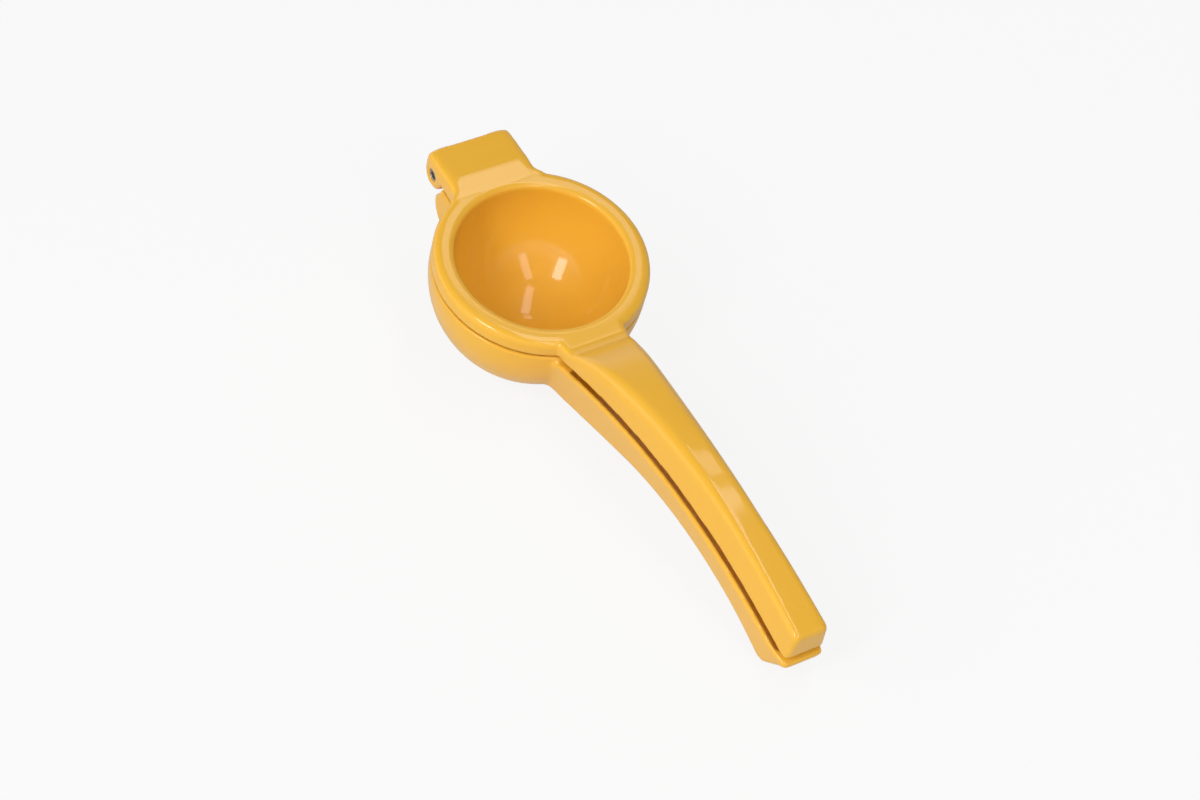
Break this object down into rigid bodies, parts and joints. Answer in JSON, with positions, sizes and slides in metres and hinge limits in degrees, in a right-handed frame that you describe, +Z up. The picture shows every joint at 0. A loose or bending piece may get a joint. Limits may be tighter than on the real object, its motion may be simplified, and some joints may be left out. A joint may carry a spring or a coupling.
{
  "type": "hinged lemon squeezer",
  "caption": "Hand-held citrus squeezer of two cast arms on one hinge pin: a ringed press cup folds into a drilled strainer bowl and the arched handles close together.",
  "frame": {"origin": "on the counter, under the middle of the closed tool's bounding box", "axes": "+X along the tool towards the handle ends, +Y along the hinge pin, +Z up out of the press cup"},
  "size_m": [0.2132, 0.07, 0.0553],
  "materials": {
    "enamel": "glossy yellow enamel on cast aluminium",
    "pin_steel": "plain rolled spring steel"
  },
  "bodies": {
    "strainer_arm": {"strainer_arm": "enamel"},
    "press_arm": {"press_arm": "enamel", "hinge_pin": "pin_steel"}
  },
  "joints": [
    {"name": "arm_hinge", "type": "hinge", "parent": "strainer_arm", "child": "press_arm", "pos_m": [-0.10122, 0, 0.04779], "axis": [0, -1, 0], "range_deg": [0, 110]}
  ]
}
